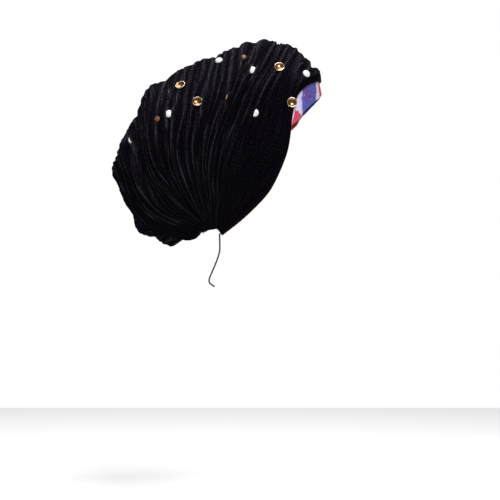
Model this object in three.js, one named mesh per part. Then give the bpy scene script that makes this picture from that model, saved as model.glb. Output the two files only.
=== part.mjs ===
// A velvet turban headwrap: one gathered velvet wrap with a slouch bag behind, a printed satin band
// at the forehead, pearls, dished gilt studs and amber stones set on the velvet, and the loose end
// of the nape draw cord. Millimetres, +Z up, +X the way the wearer looks, +Y the wearer's left.
// The origin is the crown seat, where the top of a head meets the inside of the wrap.
import * as THREE from "three";
import { mergeVertices } from "three/addons/utils/BufferGeometryUtils.js";

// ---------------------------------------------------------------- driving dimensions
const VELVET_WALL = 2.2;
const SATIN_WALL = 1.0;
const GAP = 0.35; // clearance between touching pieces
const STEPS_PER_PLEAT = 4; // facets from one pleat's crest to the next
const STEPS_PER_SIDE = 14; // facets from the nape end of a pleat up to the middle line
const FACE_BLEND_PLEATS = 4.6; // how many pleats the face edge's own line reaches back into

// The pleats run over the head like the ribs of a hood, from the right of the nape over the middle
// line to the left of the nape. One row for each crest, from the face edge back and down to the nape:
// x, z   where the crest crosses the middle line
// half   the half width of the wrap along that pleat
// bow    how far the pleat bows back from the straight line between its crest and its nape end
// valley depth of the crease between this crest and the next
// flat   share of the pleat's length, from its nape end, that lies smooth before the creases begin
const PLEATS = [
  { name: "face_edge", x: 86.3, z: -48.2, half: 70, bow: 0, valley: 0.6, flat: 0.8 },
  { name: "front_roll", x: 84.5, z: -34, half: 71, bow: 3, valley: 3.2, flat: 0.75 },
  { name: "brow", x: 66, z: -15.8, half: 73, bow: 8, valley: 1.8, flat: 0.6 },
  { name: "fore", x: 53, z: -4.5, half: 75, bow: 11, valley: 1.6, flat: 0.5 },
  { name: "crown_front", x: 42, z: 1.6, half: 76.5, bow: 13, valley: 2.6, flat: 0.35 },
  { name: "crown_mid", x: 23, z: 5.6, half: 78, bow: 14, valley: 1.8, flat: 0.25 },
  { name: "crown_peak", x: 12, z: 7.2, half: 79, bow: 15, valley: 3.2, flat: 0.2 },
  { name: "crown_back", x: -12, z: 3, half: 80.5, bow: 16, valley: 2, flat: 0.18 },
  { name: "crown_slope", x: -35, z: -6.4, half: 82, bow: 17, valley: 3.8, flat: 0.15 },
  { name: "bag_top", x: -70, z: -19.6, half: 84, bow: 19, valley: 1.4, flat: 0.12 },
  { name: "bag_slope", x: -98, z: -32.5, half: 85, bow: 24, valley: 7, flat: 0.1 },
  { name: "bag_shoulder", x: -139, z: -56.5, half: 83, bow: 31, valley: 5.5, flat: 0.1 },
  { name: "bag_upper_back", x: -172, z: -122, half: 74, bow: 37, valley: 2.6, flat: 0.1 },
  { name: "bag_back", x: -184.8, z: -162, half: 66, bow: 38, valley: 2.6, flat: 0.1 },
  { name: "bag_lower_back", x: -170.5, z: -198.5, half: 61, bow: 21, valley: 5, flat: 0.1 },
  { name: "bag_heel", x: -150.5, z: -241, half: 54, bow: 2, valley: 6, flat: 0.15 },
  { name: "bag_bottom", x: -110, z: -259.6, half: 46, bow: -4, valley: 8.5, flat: 0.2 },
  { name: "nape_gather", x: -75, z: -245, half: 34, bow: -2, valley: 1.2, flat: 0.3 },
  { name: "nape_edge", x: -66, z: -239, half: 24, bow: 0, valley: 0, flat: 0.3 },
];

// The face edge, from its hanging corner behind the ear up over the temple to the forehead's middle.
const FACE_EDGE = [
  { name: "corner", x: -43.4, y: 47, z: -246.5 },
  { name: "neck", x: -19.2, y: 54, z: -227.6 },
  { name: "jaw_angle", x: 3.6, y: 61, z: -206.2 },
  { name: "jaw", x: 19.7, y: 67, z: -187.5 },
  { name: "ear", x: 32, y: 70, z: -164.9 },
  { name: "cheek", x: 40.6, y: 70, z: -143.5 },
  { name: "cheekbone", x: 44.8, y: 69, z: -122 },
  { name: "temple", x: 46.8, y: 67, z: -101 },
  { name: "temple_top", x: 50, y: 64.5, z: -83 },
  { name: "hairline", x: 55.1, y: 60.6, z: -69.1 },
  { name: "brow_side", x: 62.7, y: 53.8, z: -60.5 },
  { name: "brow", x: 70.5, y: 45, z: -54.7 },
  { name: "forehead", x: 80.7, y: 26.5, z: -49.6 },
  { name: "middle", x: 86.3, y: 0, z: -48.2 },
];

// Where the pleats' nape ends lie round the back of the neck, from the corner to the gathered middle.
const NAPE_ROUTE = [
  { name: "corner", x: -43.4, y: 47, z: -246.5 },
  { name: "notch", x: -49.5, y: 45, z: -238.8 },
  { name: "side", x: -56.5, y: 37.5, z: -239.2 },
  { name: "gather", x: -61.5, y: 27, z: -239.8 },
  { name: "middle", x: -64.5, y: 16, z: -240 },
];

// The satin band's lower border, from where it tucks under the velvet at the temple to the middle.
const BAND_BORDER = [
  { name: "tucked_end", x: 39.5, y: 65.5, z: -115 },
  { name: "temple_point", x: 47.2, y: 62.5, z: -107.7 },
  { name: "temple", x: 55.6, y: 58, z: -100.2 },
  { name: "brow_side", x: 61.6, y: 53.5, z: -91 },
  { name: "brow_end", x: 69.8, y: 45, z: -82.4 },
  { name: "brow", x: 79.3, y: 30, z: -73.3 },
  { name: "forehead", x: 84.4, y: 16, z: -68.2 },
  { name: "middle", x: 86.8, y: 0, z: -64.5 },
];
const BAND_FROM = 0.62; // the band's tucked end, as a share of the face edge's length
const BAND_TUCK_PLEATS = 1; // how far the band reaches up under the velvet at the middle
const BAND_SHOWN = 1 / 3; // share of the band's rows that lie below the velvet

// What is set on the velvet: fold counts pleats back from the face edge, along is the share of the
// pleat's length from its nape end to the middle line. Every stud has a twin on the left side.
const STUDS = [
  { kind: "pearl", fold: 8.25, along: 0.813 },
  { kind: "amber", fold: 6.75, along: 0.755 },
  { kind: "pearl", fold: 5.78, along: 0.662 },
  { kind: "gilt", fold: 3.2, along: 0.713 },
  { kind: "pearl", fold: 1.15, along: 0.813 },
  { kind: "gilt", fold: 9.82, along: 0.735 },
  { kind: "gilt", fold: 8.78, along: 0.594 },
  { kind: "amber", fold: 6.95, along: 0.55 },
  { kind: "pearl", fold: 3.65, along: 0.487 },
  { kind: "gilt", fold: 1.05, along: 0.65 },
  { kind: "pearl", fold: 10.22, along: 0.608 },
  { kind: "amber", fold: 10.66, along: 0.62 },
  { kind: "pearl", fold: 11.7, along: 0.738 },
  { kind: "amber", fold: 10.28, along: 0.73 },
];
const LEFT_SHIFT = { fold: 0.3, along: -0.02 };

const PEARL = { radius: 5, height: 4.2 };
const GILT = { radius: 6.4, rimRadius: 5.6, rimHeight: 2.9, dishRadius: 4.9, dishEdge: 2.4, dishFloor: 1.1 };
const AMBER = { radius: 3.9, height: 2.6, tableRadius: 2, girdle: 0.6, sides: 10 };

const STUD_RADIUS = { pearl: PEARL.radius, gilt: GILT.radius, amber: AMBER.radius };

// The draw cord's loose end, from the corner of the hem down to its cut tip.
const CORD_DIAMETER = 2;
const CORD_ROUTE = [
  { x: -45.2, y: 47.2, z: -248.2 },
  { x: -45.1, y: 47.4, z: -253 },
  { x: -44.9, y: 47.5, z: -260 },
  { x: -45.2, y: 47.3, z: -267.5 },
  { x: -47.9, y: 46.6, z: -276.8 },
  { x: -51.8, y: 45.6, z: -286.6 },
  { x: -55.2, y: 44.6, z: -294.5 },
  { x: -57.6, y: 43.9, z: -300.3 },
  { x: -58.7, y: 43.4, z: -304.6 },
  { x: -57.6, y: 43, z: -308 },
  { x: -54.6, y: 42.7, z: -310.3 },
  { x: -51.3, y: 42.4, z: -312.6 },
];

// ---------------------------------------------------------------- curves through the tables

const clamp01 = (t) => Math.min(1, Math.max(0, t));
const smooth = (t) => clamp01(t) ** 2 * (3 - 2 * clamp01(t));
const mix = (a, b, t) => a + (b - a) * t;

// Catmull-Rom through four values.
function spline(a, b, c, d, t) {
  const slopeIn = (c - a) / 2;
  const slopeOut = (d - b) / 2;
  const cubic = 2 * b - 2 * c + slopeIn + slopeOut;
  const square = -3 * b + 3 * c - 2 * slopeIn - slopeOut;
  return ((cubic * t + square) * t + slopeIn) * t + b;
}

// A table's row at a fractional place, with every numeric column splined.
function rowAt(table, place) {
  const i = Math.min(Math.floor(place), table.length - 2);
  const t = place - i;
  const at = (k) => table[Math.min(Math.max(k, 0), table.length - 1)];
  const row = {};
  for (const key of Object.keys(table[0])) {
    if (key === "name") continue;
    row[key] = spline(at(i - 1)[key], at(i)[key], at(i + 1)[key], at(i + 2)[key], t);
  }
  return row;
}

// A table of stations as a curve by arc length, on the wearer's right (y negative).
function stationCurve(table) {
  const points = table.map((s) => new THREE.Vector3(s.x, -s.y, s.z));
  const mirrored = points[points.length - 2].clone().multiply(new THREE.Vector3(1, -1, 1));
  if (table[table.length - 1].y === 0) points.push(mirrored);
  const curve = new THREE.CatmullRomCurve3(points, false, "centripetal");
  const whole = curve.getLengths(400);
  const last = table[table.length - 1].y === 0 ? (points.length - 2) / (points.length - 1) : 1;
  const length = whole[Math.round(400 * last)];
  return (share) => {
    const target = clamp01(share) * length;
    let k = 0;
    while (k < 400 && whole[k + 1] < target) k++;
    const t = (k + (target - whole[k]) / Math.max(whole[Math.min(k + 1, 400)] - whole[k], 1e-9)) / 400;
    return curve.getPoint(Math.min(t, last));
  };
}

const faceEdge = stationCurve(FACE_EDGE);
const bandBorder = stationCurve(BAND_BORDER);

// ---------------------------------------------------------------- the velvet wrap's surface

// A pleat's line on the wearer's right: an elliptic arch from its nape end to the middle line.
function archPoint(place, share) {
  const row = rowAt(PLEATS, place);
  const end = rowAt(NAPE_ROUTE, (place / (PLEATS.length - 1)) * (NAPE_ROUTE.length - 1));
  const half = Math.max(row.half, end.y + 0.01);
  const from = Math.asin(end.y / half);
  const angle = mix(from, Math.PI, share);
  const rise = (Math.cos(from) - Math.cos(angle)) / (Math.cos(from) + 1);
  const chord = { x: row.x - end.x, z: row.z - end.z };
  const length = Math.hypot(chord.x, chord.z);
  const bow = row.bow * Math.sin(Math.PI * clamp01(rise) ** 0.85) ** 1.25;
  return new THREE.Vector3(
    end.x + chord.x * rise - (chord.z / length) * bow,
    -half * Math.sin(angle),
    end.z + chord.z * rise + (chord.x / length) * bow,
  );
}

// The smooth surface through the pleats' crests. side runs from -1, the right nape end, over 0, the
// middle line, to 1, the left nape end.
function crestPoint(place, side) {
  const share = 1 - Math.abs(side);
  const point = archPoint(place, share);
  const reach = 1 - smooth(place / FACE_BLEND_PLEATS);
  point.addScaledVector(faceEdge(share).sub(archPoint(0, share)), reach);
  if (side > 0) point.y = -point.y;
  return point;
}

function normalOf(surface, place, side) {
  const dPlace = 0.12;
  const dSide = 0.015;
  const last = PLEATS.length - 1;
  const a = surface(Math.min(place + dPlace, last), side);
  const b = surface(Math.max(place - dPlace, 0), side);
  const c = surface(place, Math.min(side + dSide, 1));
  const d = surface(place, Math.max(side - dSide, -1));
  return c.sub(d).cross(a.sub(b)).normalize();
}

// How deep the creases are at a place: a sharp valley halfway between two round crests.
function creaseDepth(place, side) {
  const i = Math.min(Math.floor(place), PLEATS.length - 2);
  const between = 1 - Math.abs(Math.cos(Math.PI * (place - i)));
  const flat = mix(PLEATS[i].flat, PLEATS[i + 1].flat, place - i);
  const share = 1 - Math.abs(side);
  return PLEATS[i].valley * between * smooth((share - 0.6 * flat) / Math.max(0.6 * flat, 0.08));
}

function outerPoint(place, side) {
  const normal = normalOf(crestPoint, place, side);
  return crestPoint(place, side).addScaledVector(normal, -creaseDepth(place, side));
}

// A point this far inside the velvet's outer surface.
function insidePoint(place, side, depth) {
  return outerPoint(place, side).addScaledVector(normalOf(outerPoint, place, side), -depth);
}

// The corners of the flat facets the velvet is built from, this far inside its outer surface.
const facetLayers = new Map();
function facetCorners(depth) {
  if (!facetLayers.has(depth)) {
    const last = PLEATS.length - 1;
    const pointAt = (back, across) => insidePoint(back * last, 2 * across - 1, depth);
    facetLayers.set(depth, grid(last * STEPS_PER_PLEAT, 2 * STEPS_PER_SIDE, pointAt));
  }
  return facetLayers.get(depth);
}

function facetPoint(place, side, depth) {
  const corners = facetCorners(depth);
  const row = place * STEPS_PER_PLEAT;
  const column = (side + 1) * STEPS_PER_SIDE;
  const r = Math.min(Math.floor(row), corners.length - 2);
  const c = Math.min(Math.floor(column), corners[0].length - 2);
  const near = corners[r][c].clone().lerp(corners[r][c + 1], column - c);
  const far = corners[r + 1][c].clone().lerp(corners[r + 1][c + 1], column - c);
  return near.lerp(far, row - r);
}

// ---------------------------------------------------------------- solids

// Joins an outer and an inner grid of points, rows by columns, into one closed wall.
function wallGeometry(outer, inner) {
  const rows = outer.length;
  const columns = outer[0].length;
  const position = [...outer.flat(), ...inner.flat()].flatMap((p) => [p.x, p.y, p.z]);
  const index = [];
  const at = (layer, r, c) => layer * rows * columns + r * columns + c;
  const quad = (a, b, c, d) => index.push(a, b, c, a, c, d);
  for (let r = 0; r < rows - 1; r++) {
    for (let c = 0; c < columns - 1; c++) {
      quad(at(0, r, c), at(0, r, c + 1), at(0, r + 1, c + 1), at(0, r + 1, c));
      quad(at(1, r, c), at(1, r + 1, c), at(1, r + 1, c + 1), at(1, r, c + 1));
    }
  }
  const last = { r: rows - 1, c: columns - 1 };
  for (let c = 0; c < columns - 1; c++) {
    quad(at(0, 0, c + 1), at(0, 0, c), at(1, 0, c), at(1, 0, c + 1));
    quad(at(0, last.r, c), at(0, last.r, c + 1), at(1, last.r, c + 1), at(1, last.r, c));
  }
  for (let r = 0; r < rows - 1; r++) {
    quad(at(0, r, 0), at(0, r + 1, 0), at(1, r + 1, 0), at(1, r, 0));
    quad(at(0, r + 1, last.c), at(0, r, last.c), at(1, r, last.c), at(1, r + 1, last.c));
  }
  const geometry = new THREE.BufferGeometry();
  geometry.setAttribute("position", new THREE.Float32BufferAttribute(position, 3));
  geometry.setIndex(index);
  return geometry;
}

function grid(rows, columns, pointAt) {
  return Array.from({ length: rows + 1 }, (_, r) =>
    Array.from({ length: columns + 1 }, (_, c) => pointAt(r / rows, c / columns)),
  );
}

function velvetGeometry() {
  return wallGeometry(facetCorners(0), facetCorners(VELVET_WALL));
}

// The satin band: its lower border shows below the velvet, and it tucks up inside the face edge.
function bandGeometry() {
  const depth = VELVET_WALL + GAP;
  const pointAt = (up, across, extra) => {
    const side = 2 * across - 1;
    const share = 1 - Math.abs(side);
    const edgeSide = Math.sign(side) * (1 - mix(BAND_FROM, 1, share));
    const reach = BAND_TUCK_PLEATS * mix(0.5, 1, share);
    const place = (Math.max(0, up - BAND_SHOWN) / (1 - BAND_SHOWN)) * reach;
    const tucked = facetPoint(place, edgeSide, depth + extra);
    if (up >= BAND_SHOWN) return tucked;
    const border = bandBorder(share);
    if (side > 0) border.y = -border.y;
    border.addScaledVector(inwards(border), extra);
    return border.lerp(tucked, up / BAND_SHOWN);
  };
  const layer = (extra) => grid(6, 24, (up, across) => pointAt(up, across, extra));
  return wallGeometry(layer(0), layer(SATIN_WALL));
}

// The way into the head from a point of the forehead.
function inwards(point) {
  return new THREE.Vector3(-point.x * 0.78, -point.y, -14).normalize();
}

function turned(profile, sides) {
  const points = profile.map(([r, h]) => new THREE.Vector2(r, h));
  return new THREE.LatheGeometry(points, sides).rotateX(Math.PI / 2);
}

function domeProfile(radius, from, to, steps) {
  return Array.from({ length: steps + 1 }, (_, i) => {
    const angle = (i / steps) * (Math.PI / 2);
    return [i === steps ? 0 : radius * Math.cos(angle), mix(from, to, Math.sin(angle))];
  });
}

// A round hollow, from its edge down to its floor at the middle.
function dishProfile(radius, edge, floor, steps) {
  return Array.from({ length: steps + 1 }, (_, i) => {
    const share = 1 - i / steps;
    return [radius * share, mix(floor, edge, share ** 2)];
  });
}

const STUD_SHAPES = {
  pearl: () =>
    turned([[0, 0], [PEARL.radius - 0.5, 0], ...domeProfile(PEARL.radius, 0.6, PEARL.height, 4)], 12),
  gilt: () =>
    turned(
      [
        [0, 0],
        [GILT.radius - 0.5, 0],
        [GILT.radius, 0.6],
        [GILT.radius - 0.2, 2],
        [GILT.rimRadius, GILT.rimHeight],
        ...dishProfile(GILT.dishRadius, GILT.dishEdge, GILT.dishFloor, 3),
      ],
      14,
    ),
  amber: () =>
    turned(
      [
        [0, 0],
        [AMBER.radius, 0],
        [AMBER.radius, AMBER.girdle],
        [AMBER.tableRadius, AMBER.height],
        [0, AMBER.height],
      ],
      AMBER.sides,
    ),
};

function cordGeometry() {
  const route = new THREE.CatmullRomCurve3(
    CORD_ROUTE.map((s) => new THREE.Vector3(s.x, -s.y, s.z)),
    false,
    "centripetal",
  );
  const sides = 8;
  const section = new THREE.Shape(
    Array.from({ length: sides }, (_, i) => {
      const angle = (i / sides) * 2 * Math.PI;
      const radius = CORD_DIAMETER / 2;
      return new THREE.Vector2(radius * Math.cos(angle), radius * Math.sin(angle));
    }),
  );
  return new THREE.ExtrudeGeometry(section, { steps: 22, bevelEnabled: false, extrudePath: route });
}

// ---------------------------------------------------------------- materials and assembly

const finish = (color, roughness, metalness = 0) =>
  new THREE.MeshStandardMaterial({ color, roughness, metalness });
const MATERIALS = {
  velvet: finish(0x0c0a0f, 0.9),
  satin: finish(0x5a62b4, 0.45),
  pearl: finish(0xe9e6e0, 0.25),
  gilt: finish(0xc89a52, 0.25, 1),
  amber: finish(0xb0682c, 0.15),
  cord: finish(0x120f0e, 0.85),
};

const turban = new THREE.Group();

function addPiece(name, geometry, material) {
  for (const key of ["normal", "uv"]) geometry.deleteAttribute(key);
  const merged = mergeVertices(geometry, 1e-4);
  const mesh = new THREE.Mesh(merged, material);
  mesh.name = name;
  turban.add(mesh);
  return mesh;
}

// How far the velvet round a stud rises above the plane its back lies in.
function seatHeight(centre, normal, place, side, radius) {
  const reach = { place: 0.5, side: 0.04 };
  const samples = grid(32, 20, (back, across) => {
    const near = Math.max(place + mix(-reach.place, reach.place, back), 0);
    return facetPoint(near, side + mix(-reach.side, reach.side, across), 0).sub(centre);
  });
  const under = samples.flat().filter((p) => p.clone().cross(normal).length() < radius + 1);
  return Math.max(0, ...under.map((p) => p.dot(normal)));
}

function addStud(name, kind, place, side) {
  const mesh = addPiece(name, STUD_SHAPES[kind](), MATERIALS[kind]);
  const normal = normalOf(crestPoint, place, side);
  const centre = facetPoint(place, side, 0);
  const lift = seatHeight(centre, normal, place, side, STUD_RADIUS[kind]) + GAP;
  mesh.position.copy(centre).addScaledVector(normal, lift);
  mesh.quaternion.setFromUnitVectors(new THREE.Vector3(0, 0, 1), normal);
}

addPiece("velvet_wrap", velvetGeometry(), MATERIALS.velvet);
addPiece("satin_band", bandGeometry(), MATERIALS.satin);
addPiece("draw_cord", cordGeometry(), MATERIALS.cord);
STUDS.forEach(({ kind, fold, along }, i) => {
  const number = String(i + 1).padStart(2, "0");
  addStud(`${kind}_right_${number}`, kind, fold, along - 1);
  addStud(`${kind}_left_${number}`, kind, fold + LEFT_SHIFT.fold, 1 - along - LEFT_SHIFT.along);
});

export default turban;
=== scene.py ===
import math

import bpy
import numpy as np
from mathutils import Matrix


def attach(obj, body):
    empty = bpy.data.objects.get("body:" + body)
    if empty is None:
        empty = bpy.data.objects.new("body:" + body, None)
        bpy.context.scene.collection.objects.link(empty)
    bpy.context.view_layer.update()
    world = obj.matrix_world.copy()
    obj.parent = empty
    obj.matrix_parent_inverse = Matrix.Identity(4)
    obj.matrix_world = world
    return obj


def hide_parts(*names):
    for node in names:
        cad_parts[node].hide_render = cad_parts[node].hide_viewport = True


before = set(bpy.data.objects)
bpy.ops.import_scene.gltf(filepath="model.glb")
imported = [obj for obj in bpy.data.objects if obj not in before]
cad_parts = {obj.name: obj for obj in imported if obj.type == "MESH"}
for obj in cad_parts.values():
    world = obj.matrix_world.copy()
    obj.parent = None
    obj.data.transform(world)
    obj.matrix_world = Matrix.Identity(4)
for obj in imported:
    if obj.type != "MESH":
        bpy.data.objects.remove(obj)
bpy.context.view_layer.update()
scene = bpy.context.scene
print("frame loaded:", len(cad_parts), "nodes")

mm = 0.001


def eased(t):
    # 3t^2 - 2t^3, held at 0 and 1 outside that range
    t = np.clip(t, 0, 1)
    return t * t * (3 - 2 * t)


def mixed(a, b, t):
    return a + (b - a) * t


def unit(v):
    return v / np.maximum(np.linalg.norm(v, axis=-1, keepdims=True), 1e-12)


def cellValue(ix, iy, seed):
    # a repeatable value from 0 to 1 for each whole-number cell: the fraction of a large sine
    s = np.sin(ix * 127.1 + iy * 311.7 + seed * 74.7) * 43758.5453
    return s - np.floor(s)


def noise(x, y, seed=0):
    # value noise: the four corner values of a cell, mixed by eased distances
    ix, iy = np.floor(x), np.floor(y)
    tx, ty = eased(x - ix), eased(y - iy)
    low = mixed(cellValue(ix, iy, seed), cellValue(ix + 1, iy, seed), tx)
    high = mixed(cellValue(ix, iy + 1, seed), cellValue(ix + 1, iy + 1, seed), tx)
    return mixed(low, high, ty)


def splineRows(table, place):
    # Catmull-Rom through the table's rows, read at fractional row numbers
    table = np.asarray(table, float)
    last = len(table) - 1
    i = np.clip(np.floor(place).astype(int), 0, last - 1)
    t = (place - i)[..., None]
    a, b, c, d = (table[np.clip(i + k, 0, last)] for k in (-1, 0, 1, 2))
    slopeIn, slopeOut = (c - a) / 2, (d - b) / 2
    cubic = 2 * b - 2 * c + slopeIn + slopeOut
    return (cubic * t + 3 * c - 3 * b - 2 * slopeIn - slopeOut) * t * t + slopeIn * t + b


def stationCurve(stations, shares):
    # centripetal Catmull-Rom through stations on the wearer's right, read by share of arc length;
    # past the middle line the curve would go on as its own mirror image, which sets its last tangent
    p = np.asarray(stations, float) * (1, -1, 1)
    p = np.vstack([2 * p[0] - p[1], p, p[-2] * (1, -1, 1)])
    gap = np.sqrt(np.linalg.norm(np.diff(p, axis=0), axis=1))[:, None]
    before, within, after = gap[:-2], gap[1:-1], gap[2:]
    step = np.diff(p, axis=0)
    first, middle, last = step[:-2], step[1:-1], step[2:]
    slopeIn = (first / before - (first + middle) / (before + within) + middle / within) * within
    slopeOut = (middle / within - (middle + last) / (within + after) + last / after) * within
    t = np.linspace(0, 1, 41)[None, :, None]
    b, c = p[1:-2, None], p[2:-1, None]
    m, n = slopeIn[:, None], slopeOut[:, None]
    line = (((2 * b - 2 * c + m + n) * t + 3 * c - 3 * b - 2 * m - n) * t + m) * t + b
    line = line.reshape(-1, 3)
    length = np.concatenate([[0], np.cumsum(np.linalg.norm(np.diff(line, axis=0), axis=1))])
    place = np.clip(shares, 0, 1) * length[-1]
    return np.stack([np.interp(place, length, line[:, k]) for k in range(3)], axis=-1)


def makePiece(name, points, faces, material, smooth=True):
    # points in metres, faces as lists of point numbers
    mesh = bpy.data.meshes.new(name)
    mesh.from_pydata(points.reshape(-1, 3).tolist(), [], faces)
    mesh.polygons.foreach_set("use_smooth", [smooth] * len(mesh.polygons))
    mesh.materials.append(material)
    mesh.update()
    piece = bpy.data.objects.new(name, mesh)
    scene.collection.objects.link(piece)
    return piece


def gridFaces(rows, columns, start=0, closedColumns=False):
    # quads between the points of a grid that is numbered row by row
    r = np.arange(rows - 1)[:, None] * columns
    c = np.arange(columns if closedColumns else columns - 1)[None, :]
    nextC = (c + 1) % columns
    quads = [r + c, r + nextC, r + columns + nextC, r + columns + c]
    return (start + np.stack(np.broadcast_arrays(*quads), axis=-1).reshape(-1, 4)).tolist()


def shellFaces(rows, columns, start=0):
    # two grids of one size, the first seen from outside, joined round their rims
    count, last = rows * columns, (rows - 1) * columns
    ring = np.concatenate([
        np.arange(columns),
        np.arange(1, rows) * columns + columns - 1,
        last + np.arange(columns - 2, -1, -1),
        np.arange(rows - 2, 0, -1) * columns,
    ])
    nextRing = np.roll(ring, -1)
    rim = start + np.stack([nextRing, ring, ring + count, nextRing + count], axis=-1)
    under = [face[::-1] for face in gridFaces(rows, columns, start + count)]
    return gridFaces(rows, columns, start) + under + rim.tolist()


def pointAttribute(piece, name, values):
    layer = piece.data.attributes.new(name, "FLOAT", "POINT")
    layer.data.foreach_set("value", np.asarray(values, np.float32).ravel())


def uvFromPoints(piece, name, uv):
    # every face corner takes the uv of its point
    layer = piece.data.uv_layers.new(name=name)
    corner = np.zeros(len(piece.data.loops), np.int32)
    piece.data.loops.foreach_get("vertex_index", corner)
    layer.data.foreach_set("uv", np.asarray(uv, np.float32).reshape(-1, 2)[corner].ravel())


cameraSpec = {"distance": 2.2, "sightX": -0.0065, "sightZ": -0.2656, "widthSeen": 0.65, "sensor": 36}


def makeCamera(spec):
    camera = bpy.data.cameras.new("camera")
    camera.sensor_width = spec["sensor"]
    camera.lens = spec["sensor"] * spec["distance"] / spec["widthSeen"]
    holder = bpy.data.objects.new("camera", camera)
    holder.location = (spec["sightX"], -spec["distance"], spec["sightZ"])
    holder.rotation_euler = (math.pi / 2, 0, 0)
    scene.collection.objects.link(holder)
    scene.camera = holder


makeCamera(cameraSpec)
print("camera placed")


def newMaterial(name, finish):
    # finish holds the shader's values that are the same all over the surface
    material = bpy.data.materials.new(name)
    material.use_nodes = True
    nodes, links = material.node_tree.nodes, material.node_tree.links
    shader = nodes["Principled BSDF"]
    for label, value in finish.items():
        shader.inputs[label].default_value = value
    return material, nodes, links, shader


def addNode(nodes, kind, settings=None, **inputs):
    # one node, with its settings, and its inputs by name
    node = nodes.new(kind)
    for key, value in (settings or {}).items():
        setattr(node, key, value)
    for key, value in inputs.items():
        node.inputs[key.replace("_", " ")].default_value = value
    return node


def addMath(nodes, links, operation, a, b=None, clamp=False):
    node = addNode(nodes, "ShaderNodeMath", {"operation": operation, "use_clamp": clamp})
    for socket, value in zip(node.inputs, (a, b)):
        if isinstance(value, bpy.types.NodeSocket):
            links.new(value, socket)
        elif value is not None:
            socket.default_value = value
    return node.outputs[0]


def addRamp(nodes, links, factor, stops):
    # stops are (place, colour) pairs
    node = nodes.new("ShaderNodeValToRGB")
    ramp = node.color_ramp
    while len(ramp.elements) < len(stops):
        ramp.elements.new(0.5)
    for element, (place, colour) in zip(ramp.elements, stops):
        element.position = place
        element.color = (*colour, 1)
    links.new(factor, node.inputs["Fac"])
    return node.outputs["Color"]


def addColourMix(nodes, links, factor, a, b, blend="MIX"):
    node = addNode(nodes, "ShaderNodeMix", {"data_type": "RGBA", "blend_type": blend})
    for socket, value in zip((node.inputs[0], node.inputs[6], node.inputs[7]), (factor, a, b)):
        if isinstance(value, bpy.types.NodeSocket):
            links.new(value, socket)
        else:
            socket.default_value = value if isinstance(value, (int, float)) else (*value, 1)
    return node.outputs[2]


def newGroup(name, inputs, outputs):
    # a shader node group with named sockets; inputs are (name, type, value)
    group = bpy.data.node_groups.new(name, "ShaderNodeTree")
    for label, kind, value in inputs:
        socket = group.interface.new_socket(label, in_out="INPUT", socket_type=kind)
        if value is not None:
            socket.default_value = value
    for label, kind in outputs:
        group.interface.new_socket(label, in_out="OUTPUT", socket_type=kind)
    entry = group.nodes.new("NodeGroupInput")
    leave = group.nodes.new("NodeGroupOutput")
    return group, group.nodes, group.links, entry.outputs, leave.inputs


def streakGroup():
    # noise whose x and y are scaled apart, as it is, and as a mask that rises between two levels
    group, nodes, links, entry, leave = newGroup(
        "drawnOutNoise",
        [
            ("Vector", "NodeSocketVector", None),
            ("Across", "NodeSocketFloat", 400.0),
            ("Along", "NodeSocketFloat", 30.0),
            ("Detail", "NodeSocketFloat", 3.0),
            ("Low", "NodeSocketFloat", 0.35),
            ("High", "NodeSocketFloat", 0.65),
        ],
        [("Mask", "NodeSocketFloat"), ("Raw", "NodeSocketFloat")],
    )
    scale = nodes.new("ShaderNodeCombineXYZ")
    links.new(entry["Across"], scale.inputs["X"])
    links.new(entry["Along"], scale.inputs["Y"])
    stretched = addNode(nodes, "ShaderNodeVectorMath", {"operation": "MULTIPLY"})
    links.new(entry["Vector"], stretched.inputs[0])
    links.new(scale.outputs[0], stretched.inputs[1])
    pattern = addNode(nodes, "ShaderNodeTexNoise", Scale=1.0, Roughness=0.55)
    links.new(stretched.outputs[0], pattern.inputs["Vector"])
    links.new(entry["Detail"], pattern.inputs["Detail"])
    levels = addNode(nodes, "ShaderNodeMapRange", {"interpolation_type": "SMOOTHSTEP"})
    links.new(pattern.outputs["Fac"], levels.inputs["Value"])
    links.new(entry["Low"], levels.inputs["From Min"])
    links.new(entry["High"], levels.inputs["From Max"])
    links.new(levels.outputs["Result"], leave["Mask"])
    links.new(pattern.outputs["Fac"], leave["Raw"])
    return group


drawnOutNoise = streakGroup()


def placeGrain(nodes, links, vector, values):
    # the drawn-out noise in a material: scale across and along, detail, low and high level
    node = nodes.new("ShaderNodeGroup")
    node.node_tree = drawnOutNoise
    for key, value in zip(("Across", "Along", "Detail", "Low", "High"), values):
        node.inputs[key].default_value = value
    links.new(vector, node.inputs["Vector"])
    return node


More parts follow.
